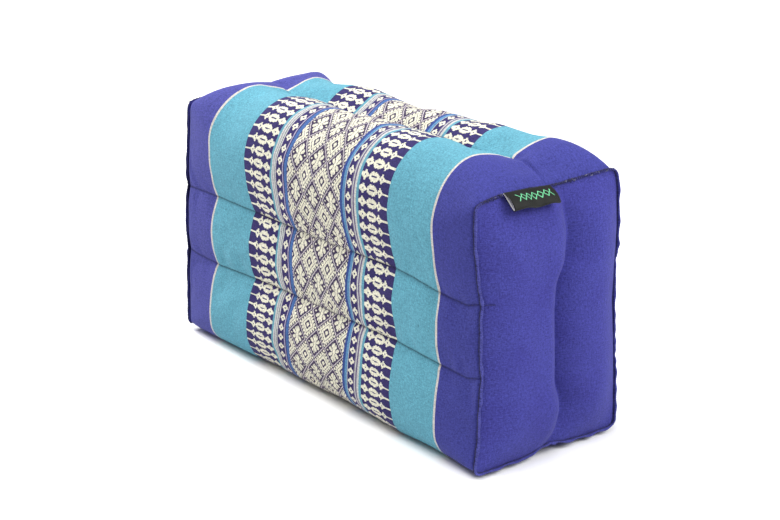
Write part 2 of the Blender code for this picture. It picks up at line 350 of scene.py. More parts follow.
def clothPlace(start):
    # where a point lies on the cloth, in cm across it and along it
    across, up, _ = start.node("ShaderNodeUVMap", {"uv_map": "cloth"}).split()
    return across * 100.0, up * 100.0


def grains(start, across, up, table):
    # every noise of a cloth by name, and the tone they give: 1 + each noise * its strength, added up
    noises = {name: slubs(start, across * wide, up * long, seed)
              for name, (wide, long, seed, _) in table.items()}
    return noises, sum((noises[name] * row[3] for name, row in table.items()), 1.0)


def wireCloth(start, shader, across, up, body, tone, noises, raised=0.0):
    # colour = body * tone; height = crossing threads as sine waves + raised yarn + slubs
    shade = start.node("ShaderNodeVectorMath", {"operation": "SCALE"}, {0: body, "Scale": tone})
    thread = start.maths("SINE", across * (math.pi / weave["end"]))
    rib = start.maths("SINE", up * (math.pi / weave["pick"]))
    height = (thread * rib * relief["threads"] + raised * relief["yarn"]
              + (noises["lengthways"] + noises["crossways"]) * relief["slubs"])
    wire(shader, shade, height, relief["strength"])


def addBands(body, aside, column, right):
    # flat colour by distance from the cloth's middle: dark, teal, indigo, and the narrow bands; the indigo is
    # lighter at the left end with painted sheen and darker at the right end with painted shade
    body = (aside > weave["tealEdge"]).blend(body, colours["teal"])
    # painted sheen on the left end's indigo, painted shade on the right end's
    body = (aside > weave["lineAt"]).blend(body, right.blend(colours["indigoSheenLeft"], colours["indigoShadeRight"]))
    beside = column - weave["brocadeEdge"]
    reach = weave["bandEdge"] - weave["brocadeEdge"]
    bands = [(beside / reach).ramp([(place / reach, colours[name]) for place, name in table], "CONSTANT")
             for table in (bandsLeft, bandsRight)]
    return ((beside > 0.0) * (column < weave["bandEdge"])).blend(body, right.blend(*bands))


def smallMotifs(column, row):
    # pale yarn of the chained motif and the lozenges, both a third of the flower's repeat high
    fromRow = (row - weave["flowerRow"]).fold(weave["repeatHigh"] / 3.0 / 2.0)
    outer, eye = stepHeights(column - weave["bandEdge"], chain["steps"], chain["long"], chain["high"])
    inBand = (column > weave["bandEdge"]) * (column < weave["tealEdge"])
    chained = (fromRow < outer) * (fromRow > eye) * inBand
    fromMiddle = abs(column - lozenges["at"])
    outer, eye = stepHeights(fromMiddle, lozenges["steps"], lozenges["long"], lozenges["high"])
    return chained.most((fromRow < outer) * (fromRow > eye) * (fromMiddle < lozenges["reach"]))


def brocadeMotifs(column, row):
    # i and j = cells from the nearest flower's middle; rings and knots go by i + j and i - j;
    # a slanting petal is an ellipse: (a / long) squared + (b / wide) squared < 1, turned
    cells = brocade["cells"]
    i = column.fold(weave["repeatWide"] / 2.0) / (weave["repeatWide"] / 2.0 / cells)
    j = (row - weave["flowerRow"]).fold(weave["repeatHigh"] / 2.0) / (weave["repeatHigh"] / 2.0 / cells)
    distance = i + j
    rings, _ = stepHeights(distance, brocade["rings"], 2.0 * cells, 1.0)
    first, last = brocade["knots"]
    knots = (distance > first) * (distance < last) * ((i - j).fold(brocade["knotHalf"]) > brocade["knotGap"])

    halfWidth, _ = stepHeights(j, brocade["petals"], cells, brocade["widest"])
    out, half, above = brocade["slit"]
    upright = (i < halfWidth) * (1.0 - (abs(i - out) < half) * (j > above))
    turn = math.radians(brocade["leafTurn"])
    fromI, fromJ = i - brocade["leaf"][0], j - brocade["leaf"][1]
    a = (fromI * math.cos(turn) + fromJ * math.sin(turn)) / brocade["leafLong"]
    b = (fromJ * math.cos(turn) - fromI * math.sin(turn)) / brocade["leafWide"]
    first, last, half = brocade["dash"]
    dash = (i > first) * (i < last) * (j < half)
    flower = upright.most((a * a + b * b) < 1.0).most(dash) * (distance < brocade["flowerEnd"])
    return flower, rings.most(knots), distance < brocade["paleEnd"]


def coverMaterial():
    # the whole cover: bands, motifs and brocade in steps of one thread, on uneven threads, with painted shade
    # along its stitched grooves
    material, shader, start = startMaterial("wovenCover", 0.86, 0.05, 0.4, 0.12)
    across, up = clothPlace(start)
    aside = abs(across)
    column, row = aside.threads(weave["end"]), up.threads(weave["pick"])
    inBrocade = aside < weave["brocadeEdge"]
    flower, lattice, isPale = brocadeMotifs(column, row)
    flower, lattice = flower * inBrocade, lattice * inBrocade
    yarn = smallMotifs(column, row).most(flower)
    line = abs(aside - weave["lineAt"]) < (weave["lineWide"] / 2.0)

    body = addBands(colours["navy"], aside, column, across > 0.0)
    light = isPale.blend(colours["cream"], colours["pale"])
    body = inBrocade.blend(body, lattice.blend(colours["ground"], light))
    body = line.blend(yarn.blend(body, colours["cream"]), colours["line"])
    noises, tone = grains(start, across, up, coverGrain)
    # painted shade: the cloth darkened along its stitched grooves, less of it in the brocade
    crease, _, _ = start.node("ShaderNodeUVMap", {"uv_map": "crease"}).split()
    tone = tone * (1.0 - crease * weave["grooveShade"] * (1.0 - inBrocade * weave["brocadeSpared"]))
    wireCloth(start, shader, across, up, body, tone, noises, yarn.most(lattice).most(line))
    return material


def plainMaterial():
    # the end panels' cloth: the same weave without a pattern; their rim is greyer and fuzzier, with painted
    # shade in the crevices at its feet
    material, shader, start = startMaterial("plainEndCloth", 0.88, 0.05, 0.4, 0.12)
    across, up = clothPlace(start)
    noises, tone = grains(start, across, up, plainGrain)
    twill = start.maths("SINE", (across + up) * (2.0 * math.pi / plain["twill"]))
    edge, shaded, _ = start.node("ShaderNodeUVMap", {"uv_map": "edge"}).split()
    body = (noises["slow"] * 2.0 + 0.5).blend(colours["indigo"], colours["indigoDeep"])
    body = (edge * plain["fuzz"]).blend(body, colours["rimLight"])
    # painted shade in the crevices at the rim's feet, and the whole rim darker along the top
    body = (shaded * plain["dark"]).blend(body, colours["rimDark"])
    tone = tone + twill * plain["twillShows"] + edge * noises["fine"] * plain["rimGrain"]
    wireCloth(start, shader, across, up, body, tone, noises)
    return material


def threadMaterial(name, dark, light):
    # sewing thread, with its twist as fine noise between two colours
    material, shader, start = startMaterial(name, 0.7)
    place = start.node("ShaderNodeTexCoord", None, None, 3)
    grain = start.node("ShaderNodeTexNoise", None, {"Vector": place, "Scale": 900.0, "Detail": 1.0})
    wire(shader, grain.blend(dark, light), grain, 0.4, 0.0002)
    return material


# the block's shape, and its cover

form = {
    # all in metres: the end seams' outline, and how high the crown stands between them
    "seamHalfLength": 0.1690, "flare": 0.0040, "seamHalfThickness": 0.0603,
    "seamBottom": 0.0045, "seamTop": 0.1880, "seamRadius": 0.0022,
    "crownBottom": -0.0055, "crownTop": 0.2055, "topSlope": 0.0030, "crownReach": 0.062,
    "topGrooveReach": 0.072,
    "lowCorner": 0.0035,  # radius of the seam's lower corners
    # where the seam leaves its even outline: its top edge's rise across, how much of it the left end
    # has, and its front and back edges' push by height
    "leftRise": 0.3,
    "topEdge": ((-0.0625, -0.045, -0.02, 0.01, 0.03, 0.0603),
                (0.0020, 0.0050, 0.0050, 0.0033, 0.0031, 0.0036)),
    "frontEdge": ((0.0045, 0.028, 0.066, 0.100, 0.122, 0.145, 0.163, 0.188),
                  (0.0085, 0.0040, 0.0014, 0.0006, 0.0006, 0.0024, 0.0042, 0.0037)),
    "frontLeft": ((0.0045, 0.028, 0.066, 0.100, 0.122, 0.145, 0.163, 0.188),
                  (0.0048, 0.0046, 0.0056, 0.0056, 0.0058, 0.0046, 0.0036, 0.0030)),
    "backEdge": ((0.007, 0.066, 0.100, 0.122, 0.150, 0.175, 0.188),
                 (0.0015, 0.0015, -0.0003, 0.0020, 0.0038, 0.0036, 0.0014)),
    "inset": 0.0019,  # the cover stops this far short of the seam
    # each side: its half thickness, more of it to the right, and radii at top and bottom; left and
    # right, how soon its crown rises and how much rounder its shoulder is; bumps along its crown
    "front": {"half": 0.0685, "taper": 0.0000, "top": 0.034, "bottom": 0.024, "reach": (0.032, 0.054),
              "shoulder": (0.3, 0.3),
              "lift": ((-1.0, -0.9, -0.79, -0.69, -0.56, -0.45, -0.25, -0.07, 0.14, 0.5, 0.84, 1.0),
                       (0.0, -0.0003, -0.0014, -0.0016, 0.0006, 0.0024, 0.0012, 0.0012, 0.0034, 0.0044,
                        0.0028, 0.0))},
    "back": {"half": 0.0650, "taper": 0.0035, "top": 0.042, "bottom": 0.024, "reach": (0.032, 0.040),
             "shoulder": (0.08, 0.0),
             "lift": ((-1.0, -0.92, -0.84, -0.74, -0.66, -0.55, -0.40, -0.28, 0.0, 0.11, 0.22, 0.33, 0.45,
                       0.68, 1.0),
                      (0.0, -0.0012, -0.0034, -0.0028, -0.0006, 0.0012, 0.0022, 0.0006, -0.0006, 0.0018,
                       0.0018, 0.0012, 0.0026, 0.0012, 0.0))},
    # each groove: its height, or place across; depth and reach in the middle, and at the seams
    "bottomGroove": (0.002, 0.0110, 0.028, 0.0050, 0.036),
    "lowerGroove": (0.066, 0.0062, 0.042, 0.0016, 0.022),
    "upperGroove": (0.122, 0.0062, 0.042, 0.0016, 0.022),
    "topGroove": (0.003, 0.0158, 0.042, 0.0012, 0.034),
    # how the front grooves wander up and down along the block, in m by share of its half length
    "lowerWander": ((-1.0, -0.93, -0.76, -0.35, 0.0, 0.5, 0.76, 0.93, 1.0),
                    (0.0035, 0.0012, 0.0, 0.0035, 0.0042, 0.0050, 0.0028, 0.0010, 0.0045)),
    "upperWander": ((-1.0, 0.0, 0.49, 0.62, 0.76, 0.93, 1.0),
                    (-0.0010, 0.0, 0.0022, 0.0010, -0.0020, -0.0040, -0.0004)),
    "wanderReach": 0.026,
    # spans of each leg of half a section, and how they close up towards stitching: how much, half waves
    "spans": (6, 7, 6, 7, 6), "closing": ((-0.2, 1.0), (0.2, 1.0), (-0.1, 2.0), (-0.2, 1.0), (0.2, 1.0)),
    "fineness": 3, "stations": 85,
}

cover = {
    # the simulation's cloth, and no point moves further than mostMove
    "pressure": 4.0, "grow": 0.004, "frames": 20, "mostMove": 0.0040,
    "quality": 6, "mass": 0.3, "stretch": 25.0, "shear": 10.0, "bending": 0.3,
    "pucker": 0.0009, "puckerReach": 0.011, "waver": 0.0003,
    # the crease's depth and reach, and how far the painted shade along the grooves reaches, in m
    "crease": 0.0007, "creaseReach": 0.0028, "grooveShadeReach": 0.0005,
    "endSwell": 0.75, "endInset": 0.0012,  # its ends follow that share of a panel's swell, further in
    "drawIn": 0.014, "drawInReach": 0.012,  # cloth taken towards the middle along the front grooves
    "topFade": (0.72, 0.86),  # the top groove's stitching ends here, by share of the length
    # cloth against girth: place round the section, place on the cloth; each front groove hides some
    "takeUp": ((0.0, 0.0857, 0.1312, 0.1911, 0.30, 0.3324, 0.70),
               (-0.0193, 0.0754, 0.1284, 0.1851, 0.2914, 0.3238, 0.6914)),
    "hidden": (0.0036, 0.0140),
    # where the cloth lies along the block: place on the block, place on the cloth
    "spread": ((-0.169, -0.1348, -0.0850, -0.0313, 0.0331, 0.0854, 0.1320, 0.169),
               (-0.161, -0.1286, -0.0830, -0.0310, 0.0310, 0.0830, 0.1286, 0.1645)),
}


def cornerLeg(length, radius, share, dipDepth, dipReach):
    # half of a rounded corner and the straight leg after it, from the arc's middle towards a groove:
    # run along the leg and rise across it, drawn in by normal * pinch(distance from the groove)
    arcEnd = radius * math.pi / 4.0
    leg = length - radius + arcEnd
    along = leg * share
    angle = math.pi / 4.0 + np.minimum(along, arcEnd) / radius
    straight = np.maximum(along - arcEnd, 0.0)
    drawn = radius - pinch(leg - along, dipDepth, dipReach)
    return drawn * np.cos(angle) - straight, drawn * np.sin(angle)


def seamPush(y, z, lean):
    # how far the seam's own outline is pushed out at the front and back, and up along its top;
    # the left end's top stays lower
    front = mix(np.interp(z, *form["frontLeft"]), np.interp(z, *form["frontEdge"]), smooth(lean, -0.6, 0.6))
    outward = np.where(y < 0.0, -front, np.interp(z, *form["backEdge"]))
    beside = np.clip(np.abs(y) / form["seamHalfThickness"], 0.0, 1.0) ** 3
    rise = np.interp(y, *form["topEdge"]) * mix(form["leftRise"], 1.0, smooth(lean, -0.6, 0.6))
    return outward * beside, rise * np.clip(z / form["seamTop"], 0.0, 1.1) ** 3


def halfSection(side, full, lean, fineness):
    # half a section, from the bottom groove round to the top one, for a column of stations:
    # straight legs and quarter arcs, each drawn in towards its grooves
    half = mix(form["seamHalfThickness"], side["half"] + side["taper"] * lean, full)
    bottom = mix(form["seamBottom"], form["crownBottom"], full)
    toSeam = (1.0 - np.sqrt(1.0 - full)) * form["crownReach"]
    crown = form["crownTop"] + form["topSlope"] * lean + np.interp(lean, *side["lift"])
    top = mix(form["seamTop"], crown, ease(toSeam, np.where(lean < 0.0, *side["reach"])))
    lowRadius = mix(form["lowCorner"], side["bottom"], full)
    rounder = 1.0 + np.where(lean < 0.0, *side["shoulder"]) * smooth(np.abs(lean), 0.4, 0.75)
    highRadius = mix(form["seamRadius"], side["top"] * rounder, full)
    lower, upper = form["lowerGroove"][0], form["upperGroove"][0]

    def groove(name, share):
        # how deep it is and how far it pulls, from their values at the seams to those in the middle
        _, depth, reach, seamDepth, seamReach = form[name]
        return mix(seamDepth, depth, share), mix(seamReach, reach, share)

    # t + a * sine, over a half or a whole wave
    steps = [np.arange(count * fineness)[None, :] / (count * fineness) for count in form["spans"]]
    shares = [step + much * np.sin(halves * math.pi * step)
              for step, (much, halves) in zip(steps, form["closing"])]
    depth, reach = groove("lowerGroove", full)
    run, rise = cornerLeg(half, lowRadius, 1.0 - shares[0], *groove("bottomGroove", full))
    parts = [(half - lowRadius + run, bottom + lowRadius - rise)]
    run, rise = cornerLeg(lower - bottom, lowRadius, shares[1], depth, reach)
    parts.append((half - lowRadius + rise, bottom + lowRadius - run))
    climb = (upper - lower) * shares[2]
    dip = pinch(climb, depth, reach) + pinch(upper - lower - climb, depth, reach)
    parts.append((half - np.minimum(dip, depth), lower + climb + 0.0 * half))
    run, rise = cornerLeg(top - upper, highRadius, 1.0 - shares[3], depth, reach)
    parts.append((half - highRadius + rise, top - highRadius + run))
    topGroove = groove("topGroove", smooth(toSeam, 0.0, form["topGrooveReach"]))
    run, rise = cornerLeg(half, highRadius, np.append(shares[4], [[1.0]], axis=1), *topGroove)
    parts.append((half - highRadius + run, top - highRadius + rise))
    return [np.concatenate([part[k] for part in parts], axis=1) for k in (0, 1)]


def fullSection(full, lean, fineness):
    # closed sections, one row each: bottom groove, front, top groove, back
    full, lean = np.reshape(full, (-1, 1)), np.reshape(lean, (-1, 1))
    frontY, frontZ = halfSection(form["front"], full, lean, fineness)
    backY, backZ = halfSection(form["back"], full, lean, fineness)
    y = np.concatenate([-frontY, backY[:, -2:0:-1]], axis=1)
    z = np.concatenate([frontZ, backZ[:, -2:0:-1]], axis=1)
    height = np.clip(z / form["crownTop"], 0.0, 1.0)
    shift = mix(form["bottomGroove"][0], form["topGroove"][0], height)
    inside = np.clip(1.0 - np.abs(y) / form["seamHalfThickness"], 0.0, 1.0)
    outward, upward = seamPush(y, z, lean)
    for groove, path in (("lowerGroove", "lowerWander"), ("upperGroove", "upperWander")):
        near = np.exp(-((z - form[groove][0]) / form["wanderReach"]) ** 2) * smooth(-y, 0.0, 0.03)
        z = z + np.interp(lean, *form[path]) * near
    return y + shift * inside * full + outward * (1.0 - full), np.maximum(z + upward * (1.0 - full), 0.0)


def seamX(z):
    # an end seam's distance from the middle: its foot is pushed outwards
    middle = 0.5 * (form["seamBottom"] + form["seamTop"])
    return form["seamHalfLength"] + form["flare"] * (middle - z) / (middle - form["seamBottom"])


def grooveIndices(fineness):
    # where the six sewn grooves lie in a section
    spans = form["spans"]
    lower, upper = sum(spans[:2]) * fineness, sum(spans[:3]) * fineness
    top = sum(spans) * fineness
    return np.array([0, lower, upper, top, 2 * top - upper, 2 * top - lower])


def patchGrid(y, z, fineness):
    # fills a closed section with a grid by adding up the pulls of its four sides
    across = form["spans"][0] * fineness
    up = sum(form["spans"][1:4]) * fineness
    outline = np.stack([y, z], axis=1)
    front = outline[across:across + up + 1]
    top = outline[across + up:3 * across + up + 1]
    back = outline[3 * across + up:3 * across + 2 * up + 1][::-1]
    bottom = np.concatenate([outline[-across:], outline[:across + 1]])[::-1]
    u = np.linspace(0.0, 1.0, 2 * across + 1)[:, None, None]
    v = np.linspace(0.0, 1.0, up + 1)[None, :, None]
    sides = (1.0 - u) * front[None] + u * back[None]
    ends = (1.0 - v) * bottom[:, None] + v * top[:, None]
    corners = ((1.0 - u) * (1.0 - v) * front[0] + (1.0 - u) * v * front[-1]
               + u * (1.0 - v) * back[0] + u * v * back[-1])
    grid = sides + ends - corners
    return grid[:, :, 0], grid[:, :, 1]


def gridBorder(columns, rows):
    # a grid's outer points in the order of the closed section
    index = np.arange(columns * rows).reshape(columns, rows)
    middle = columns // 2
    return np.concatenate([index[middle:0:-1, 0], index[0, :-1], index[:-1, -1],
                           index[-1, :0:-1], index[-1:middle:-1, 0]])


panel = {
    "crown": 0.0130, "rise": 0.042, "sideRise": 0.030, "thickness": 0.0010,
    # the crease between the two columns: heights, and how far behind the middle it lies there
    "creasePath": ((0.005, 0.0187, 0.036, 0.0527, 0.0745, 0.106, 0.127, 0.140, 0.159, 0.190),
                   (-0.006, 0.0060, 0.0089, 0.0037, 0.0041, 0.0037, 0.0059, 0.0135, 0.0150, 0.0105)),
    "soften": 0.004,  # how far the path's turns are rounded
    "creaseDepth": 0.0125, "frontReach": 0.016, "backReach": 0.027,
    "uneven": 0.0007, "gather": 0.0006, "pucker": 0.0003,
    "middle": 0.0976, "halfHigh": 0.0904,  # the seam's middle height, and half of it
    "fineness": 4,
}


def rounded(value, table, reach):
    # a table read with its turns rounded off: the mean of readings spread over plus and minus reach
    return sum(np.interp(value + reach * k / 6.0, *table) for k in range(-6, 7)) / 13.0


def panelSwell(y, z, side):
    # how far an end panel stands past its seam: two columns with a wandering crease between
    outward, _ = seamPush(np.sign(y) * form["seamHalfThickness"], z, side)
    _, upward = seamPush(y, form["seamTop"], side)
    sides = form["seamHalfThickness"] + np.abs(outward) * np.sign(outward * y) - np.abs(y)
    ends = np.minimum(z - form["seamBottom"], form["seamTop"] + upward - z)
    rise = ease(np.maximum(sides, 0.0), panel["sideRise"]) * ease(np.maximum(ends, 0.0), panel["rise"])
    past = y - rounded(z, panel["creasePath"], panel["soften"])
    reach = np.where(past < 0.0, panel["frontReach"], panel["backReach"])
    return (panel["crown"] - pinch(np.abs(past), panel["creaseDepth"], reach)) * rise


def inflate(piece, held, setup):
    # a short cloth simulation: the held stitching stays, the rest swells under pressure
    before = np.empty(len(piece.data.vertices) * 3)
    piece.data.vertices.foreach_get("co", before)
    group = piece.vertex_groups.new(name="held")
    group.add(held.tolist(), 1.0, "REPLACE")
    modifier = piece.modifiers.new("Cloth", "CLOTH")
    cloth = modifier.settings
    cloth.quality, cloth.mass = setup["quality"], setup["mass"]
    cloth.tension_stiffness = cloth.compression_stiffness = setup["stretch"]
    cloth.shear_stiffness, cloth.bending_stiffness = setup["shear"], setup["bending"]
    cloth.use_pressure, cloth.uniform_pressure_force = True, setup["pressure"]
    cloth.shrink_min = -setup["grow"]
    cloth.vertex_group_mass = "held"
    cloth.effector_weights.gravity = 0.0
    modifier.collision_settings.use_collision = False
    modifier.point_cache.frame_start, modifier.point_cache.frame_end = 1, setup["frames"]
    for moment in range(1, setup["frames"] + 1):
        scene.frame_set(moment)
    swollen = piece.evaluated_get(bpy.context.evaluated_depsgraph_get())
    after = np.empty_like(before)
    swollen.data.vertices.foreach_get("co", after)
    piece.modifiers.remove(modifier)
    piece.vertex_groups.remove(group)
    scene.frame_set(1)
    move = (after - before).reshape(-1, 3)
    far = np.linalg.norm(move, axis=1, keepdims=True)
    print("cover swelled by", round(float(far.mean()) * 1000, 2), "mm, most",
          round(float(far.max()) * 1000, 2))
    move *= np.tanh(far / setup["mostMove"]) * setup["mostMove"] / np.maximum(far, 1e-9)
    return before.reshape(-1, 3) + move


def finished(piece):
    # where a piece's own points and their normals end up once its modifiers are done
    count = len(piece.data.vertices)
    mesh = piece.evaluated_get(bpy.context.evaluated_depsgraph_get()).data
    points, normals = (np.empty(len(mesh.vertices) * 3) for _ in range(2))
    mesh.vertices.foreach_get("co", points)
    mesh.vertex_normals.foreach_get("vector", normals)
    return points.reshape(-1, 3)[:count], normals.reshape(-1, 3)[:count]


def pointNormals(piece):
    # the direction in which each point of a piece faces
    normals = np.empty(len(piece.data.vertices) * 3)
    piece.data.vertex_normals.foreach_get("vector", normals)
    return normals.reshape(-1, 3)


def sewnShare(s):
    # how tightly the grooves are sewn along the block: all along, and how far the top one has faded
    return np.stack([1.0 - np.abs(s) ** 12, smooth(np.abs(s), *cover["topFade"])], axis=1)


def setPoints(piece, points):
    # moves a piece's own points
    piece.data.vertices.foreach_set("co", points.ravel())
    piece.data.update()


def coverSections():
    # places along the block, closer together near its ends, and the section at each of them
    t = np.linspace(-1.0, 1.0, form["stations"])
    s = 0.45 * t + 0.55 * np.sin(t * math.pi / 2.0)
    full = ease((1.0 - np.abs(s)) * form["seamHalfLength"], form["crownReach"])
    y, z = fullSection(full, s, form["fineness"])
    return s, np.stack([s[:, None] * (seamX(z) - form["inset"]), y, z], axis=-1)


def closeEnds(body):
    # the cover's points and faces: its sections, and at each end a patch behind the panel
    stations, count = body.shape[:2]
    rings = np.arange(stations * count).reshape(stations, count)
    quads = [ringQuads(rings[k], rings[k + 1], True) for k in range(stations - 1)]
    points, start = [body.reshape(-1, 3)], stations * count
    for side, end in ((-1.0, 0), (1.0, -1)):
        y, z = patchGrid(body[end, :, 1], body[end, :, 2], form["fineness"])
        x = side * (seamX(z) - form["inset"] + panelSwell(y, z, side) * cover["endSwell"] - cover["endInset"])
        points.append(np.stack([x, y, z], axis=-1).reshape(-1, 3))
        shared = np.arange(start + y.size)
        shared[start + gridBorder(*y.shape)] = rings[end]
        quads.append(shared[gridQuads(*y.shape, start, side < 0.0)])
        start += y.size
    used, numbers = np.unique(np.concatenate(quads), return_inverse=True)
    return np.concatenate(points)[used], numbers.reshape(-1, 4), y.shape


def girthOf():
    # how far round the middle section each point lies, and at last the whole girth
    y, z = (part[0] for part in fullSection([1.0], [0.0], form["fineness"]))
    steps = np.hypot(np.diff(y, append=y[0]), np.diff(z, append=z[0]))
    return np.concatenate([[0.0], np.cumsum(steps)])


def coverMaps(quads, s, along, patch):
    # a pair of numbers for each corner of each face in three maps: the place on the cloth in metres,
    # how much painted shade lies along the stitched grooves, and the cloth packed, with more room for the
    # pattern
    count, grooves = len(along) - 1, grooveIndices(form["fineness"])
    cloth, crease, bake = (np.zeros((len(quads), 4, 2)) for _ in range(3))
    wrap = slice(0, (len(s) - 1) * count)
    station, place = np.divmod(quads[wrap], count)
    place = np.where((place == 0) & (np.max(place, axis=1, keepdims=True) == count - 1), count, place)

    flatX, fronts = s * form["seamHalfLength"], grooves[1:3]
    toFront = np.abs(along[:, None] - along[fronts]).min(axis=1)
    drawn = 1.0 + cover["drawIn"] * np.exp(-toFront / cover["drawInReach"])
    past = place.min(axis=1, keepdims=True)
    folded = sum(hidden * (past >= groove) for hidden, groove in zip(cover["hidden"], fronts))
    cloth[wrap, :, 0] = np.interp(flatX, *cover["spread"])[station] * drawn[place]
    cloth[wrap, :, 1] = np.interp(along, *cover["takeUp"])[place] + folded

    toGroove = np.abs(along[:, None] - np.append(along[grooves], along[-1])).min(axis=1)
    atTop = np.abs(along[place] - along[grooves[3]]) < 0.02
    # painted shade along each groove, fading where the top groove's stitching ends
    crease[wrap, :, 0] = np.exp(-(toGroove / cover["grooveShadeReach"]) ** 2)[place]
    crease[wrap, :, 0] *= 1.0 - sewnShare(s)[:, 1][station] * atTop
    crease[wrap, :, 1] = np.abs(s)[station]  # without it, subdividing would blur the painted shade line

    half, near = form["seamHalfLength"], 0.060
    dense = 0.5 + 0.5 * (0.62 * np.tanh(flatX / near) / math.tanh(half / near) + 0.38 * flatX / half)
    bake[wrap, :, 0] = 0.002 + 0.996 * dense[station]
    bake[wrap, :, 1] = 0.002 + 0.93 * along[place] / along[-1]
    # the two end patches lie side by side above the rest
    columns, rows = patch
    each = (columns - 1) * (rows - 1)
    for k, side in enumerate((-1.0, 1.0)):
        ending = slice(wrap.stop + k * each, wrap.stop + (k + 1) * each)
        column, row = np.divmod(gridQuads(columns, rows, 0, k == 0), rows)
        cloth[ending] = np.stack([(0.17 + 0.1 * column / columns) * side, 0.1 * row / rows], axis=-1)
        bake[ending] = np.stack([0.01 + 0.5 * k + 0.45 * row / rows, 0.94 + 0.055 * column / columns],
                                axis=-1)
    return {"cloth": cloth.reshape(-1, 2), "crease": crease.reshape(-1, 2), "OFBake": bake.reshape(-1, 2)}


def unevenness(points):
    # a few broad waves over the block, two of them multiplied
    x, y, z = points.T
    return (ripples(x + 0.7 * z, 3, 0.08, 0.16) * ripples(y - z, 4, 0.06, 0.14)
            + 0.5 * ripples(x - 1.3 * z, 5, 0.04, 0.08))


def puckersAndCreases(s, along):
    # how far each point of the sections stands out: waves that fade away from a groove on either
    # side, less the crease in the groove itself
    offset, flatX = np.zeros((len(s), len(along) - 1)), s * form["seamHalfLength"]
    for number, groove in enumerate(grooveIndices(form["fineness"])):
        apart = along[:-1] - along[groove]
        apart = np.where(apart > along[-1] / 2, apart - along[-1], apart)
        apart = np.where(apart < -along[-1] / 2, apart + along[-1], apart)
        near = np.exp(-(np.abs(apart) / cover["puckerReach"])) * smooth(np.abs(apart), 0.0, 0.004)
        wave = np.where(apart > 0, ripples(flatX, 20 + number, 0.009, 0.024)[:, None],
                        ripples(flatX, 40 + number, 0.009, 0.024)[:, None])
        offset += near * wave * cover["pucker"]
        sewn = 1.0 - sewnShare(s)[:, 1] if number == 3 else sewnShare(s)[:, 0]
        offset -= pinch(np.abs(apart), cover["crease"], cover["creaseReach"]) * sewn[:, None]
    return offset * (1.0 - np.abs(s)[:, None] ** 12)


def buildCover(material):
    # a little unevenness to start from, then the simulation, then puckers beside the stitching
    s, body = coverSections()
    points, quads, patch = closeEnds(body)
    along, grooves = girthOf(), grooveIndices(form["fineness"])
    print("girth", round(float(along[-1]), 4), "grooves at", np.round(along[grooves], 4))
    piece = makePiece("cushionCover", points, quads, material, coverMaps(quads, s, along, patch))
    shape = body.shape
    wrap = slice(0, shape[0] * shape[1])
    fade = np.tile((1.0 - np.abs(s)[:, None] ** 6), (1, shape[1])).ravel()
    points[wrap] += pointNormals(piece)[wrap] * (cover["waver"] * unevenness(points[wrap]) * fade)[:, None]
    setPoints(piece, points)
    rings = np.arange(wrap.stop).reshape(shape[:2])
    ends = np.arange(wrap.stop, len(points))
    held = np.concatenate([rings[:, grooves].ravel(), rings[0], rings[-1], ends])
    points = inflate(piece, np.unique(held), cover)
    setPoints(piece, points)
    points[wrap] += pointNormals(piece)[wrap] * puckersAndCreases(s, along).reshape(-1, 1)
    points[wrap, 2] = np.maximum(points[wrap, 2], 0.0)
    setPoints(piece, points)
    subdivide(piece)
    return (piece, *(part[wrap].reshape(shape) for part in finished(piece)))


# the end panels, with the raised seam all round

rim = {
    # the seam's own section: out from the seam line, and up from the panel, in mm
    "profile": ((-0.25, 0.9), (-0.25, 1.8), (0.05, 2.6), (0.70, 3.0), (1.40, 2.8), (1.80, 2.1), (1.75, 1.1),
                (1.45, 0.2), (1.00, -0.6)),
    "dark": (1.0, 0.45, 0.05, 0.0, 0.0, 0.0, 0.35, 0.95, 1.0),  # how dark each line of it is: painted shade in the crevices at its feet
    "uneven": 0.0005, "lumps": 0.26,  # how far it wanders, and how much its thickness changes
    # how thick it is on the right and on the left, and how much of that is left along the top
    "size": 0.82, "leftSize": 0.30, "topSize": 0.65,
}


def panelSurface(y, z, side, seed):
    # an end panel's outer face: its swell + broad unevenness + gathers below the middle of its top
    # + puckers all round; gathers and puckers die away exponentially from the seam
    swell = panelSwell(y, z, side)
    uneven = ripples(y + 0.4 * z, seed, 0.03, 0.08) * ripples(z - y, seed + 1, 0.05, 0.11)
    toTop = form["seamTop"] + seamPush(y, form["seamTop"], side)[1] - z
    gathers = (np.exp(-toTop / 0.010) * smooth(toTop, 0.0, 0.002) * smooth(y, -0.006, 0.004)
               * (1.0 - smooth(y, 0.016, 0.030)) * ripples(y - 0.35 * toTop, seed + 2, 0.0035, 0.0060, 3))
    toSeam = np.minimum(np.minimum(toTop, z - form["seamBottom"]), form["seamHalfThickness"] - np.abs(y))
    upright = np.abs(y) / form["seamHalfThickness"] > np.abs(z - panel["middle"]) / panel["halfHigh"]
    puckers = (np.exp(-toSeam / 0.005) * smooth(toSeam, 0.0, 0.002)
               * ripples(np.where(upright, z, y), seed + 3, 0.006, 0.016))
    x = (seamX(z) + swell + panel["uneven"] * np.clip(swell / panel["crown"], 0.0, 1.0) * uneven
         + panel["gather"] * gathers + panel["pucker"] * puckers)
    return np.stack([x, y, z], axis=-1).reshape(-1, 3)


